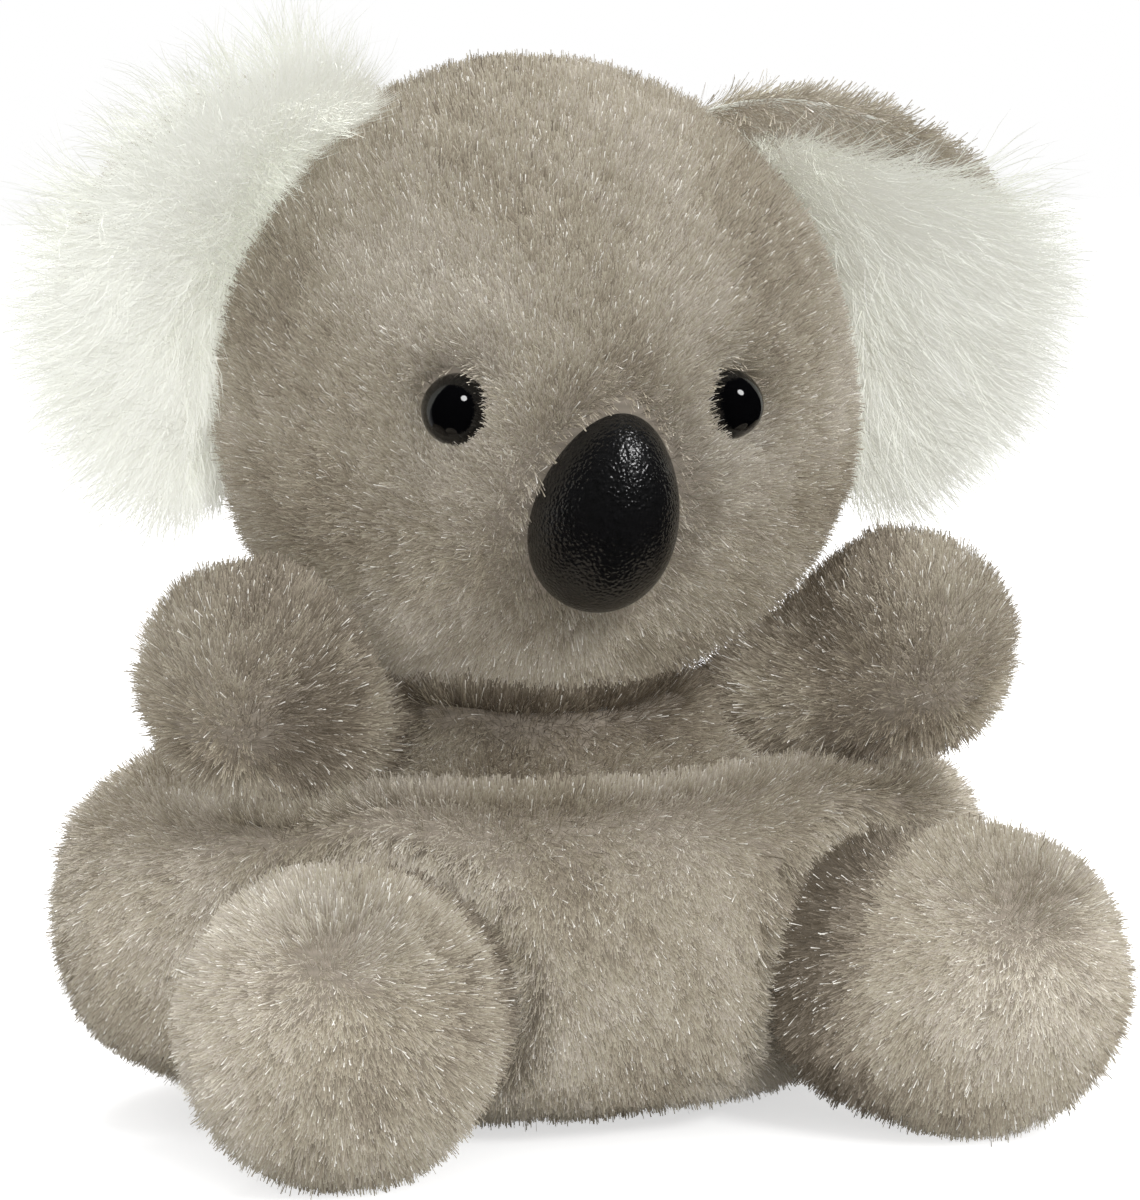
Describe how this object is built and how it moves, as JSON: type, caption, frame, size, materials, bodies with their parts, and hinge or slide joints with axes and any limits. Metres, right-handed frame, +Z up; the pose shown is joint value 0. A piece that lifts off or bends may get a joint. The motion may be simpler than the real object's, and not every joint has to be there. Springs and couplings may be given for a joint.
{
  "type": "plush koala",
  "caption": "Sitting plush koala with a big round head, fluffy white ears, egg-shaped nose and a bean-filled body.",
  "frame": {"origin": "on the floor under the middle of the head, at the flat of the base panel", "axes": "+Z up, the body faces -Y, +X is the toy's own left"},
  "size_m": [0.1141, 0.0945, 0.1189],
  "materials": {
    "grey_fur": "short dense pile, grey with beige and lilac streaks",
    "white_fur": "long loose white pile",
    "eye_black": "polished black dome",
    "nose_black": "black with a fine leather grain and a soft gloss",
    "washer_white": "natural moulded",
    "fibre": "loose white polyester fibre",
    "pouch_cloth": "plain woven cloth",
    "pellet_plastic": "small loose granules",
    "thread": "grey sewing thread"
  },
  "bodies": {
    "trunk": {"body_front_panel": "grey_fur", "body_back_panel": "grey_fur", "base_panel": "grey_fur", "body_filling": "fibre", "pellet_pouch": "pouch_cloth", "pellets": "pellet_plastic"},
    "neck": {"neck_thread": "thread"},
    "head": {"face_panel": "grey_fur", "head_back_panel": "grey_fur", "head_filling": "fibre", "left_eye": "eye_black", "left_eye_washer": "washer_white", "right_eye": "eye_black", "right_eye_washer": "washer_white", "nose": "nose_black", "nose_washer": "washer_white"},
    "left_ear": {"left_ear_front": "white_fur", "left_ear_back": "grey_fur"},
    "left_arm": {"left_arm": "grey_fur", "left_arm_filling": "fibre"},
    "left_leg": {"left_leg": "grey_fur", "left_leg_filling": "fibre"},
    "right_ear": {"right_ear_front": "white_fur", "right_ear_back": "grey_fur"},
    "right_arm": {"right_arm": "grey_fur", "right_arm_filling": "fibre"},
    "right_leg": {"right_leg": "grey_fur", "right_leg_filling": "fibre"}
  },
  "joints": [
    {"name": "head_turn", "type": "hinge", "parent": "trunk", "child": "neck", "pos_m": [0, 0, 0.0799], "axis": [0, 0, 1], "range_deg": [-21.5, 38.5], "stiffness_Nm_per_rad": 0.1},
    {"name": "head_nod", "type": "hinge", "parent": "neck", "child": "head", "pos_m": [0, 0, 0.0799], "axis": [0.989, -0.1478, 0], "range_deg": [-10, 8], "stiffness_Nm_per_rad": 0.15},
    {"name": "left_ear_fold", "type": "hinge", "parent": "head", "child": "left_ear", "pos_m": [0.03267, -0.0043, 0.09255], "axis": [-0.2587, -0.3138, 0.9135], "range_deg": [-15, 25], "stiffness_Nm_per_rad": 0.02},
    {"name": "right_ear_fold", "type": "hinge", "parent": "head", "child": "right_ear", "pos_m": [-0.0325, 0.00544, 0.09255], "axis": [-0.1055, 0.2547, -0.9613], "range_deg": [-15, 25], "stiffness_Nm_per_rad": 0.02},
    {"name": "left_shoulder", "type": "hinge", "parent": "trunk", "child": "left_arm", "pos_m": [0.02408, -0.0055, 0.041], "axis": [0, 0, 1], "range_deg": [-4, 40], "stiffness_Nm_per_rad": 0.04},
    {"name": "left_hip", "type": "hinge", "parent": "trunk", "child": "left_leg", "pos_m": [0.03008, -0.0312, 0.0166], "axis": [-0.766, -0.6428, 0], "range_deg": [-6, 20], "stiffness_Nm_per_rad": 0.06},
    {"name": "right_shoulder", "type": "hinge", "parent": "trunk", "child": "right_arm", "pos_m": [-0.02408, -0.0055, 0.041], "axis": [0, 0, -1], "range_deg": [-4, 40], "stiffness_Nm_per_rad": 0.04},
    {"name": "right_hip", "type": "hinge", "parent": "trunk", "child": "right_leg", "pos_m": [-0.03008, -0.0312, 0.0166], "axis": [-0.766, 0.6428, 0], "range_deg": [-6, 20], "stiffness_Nm_per_rad": 0.06}
  ]
}
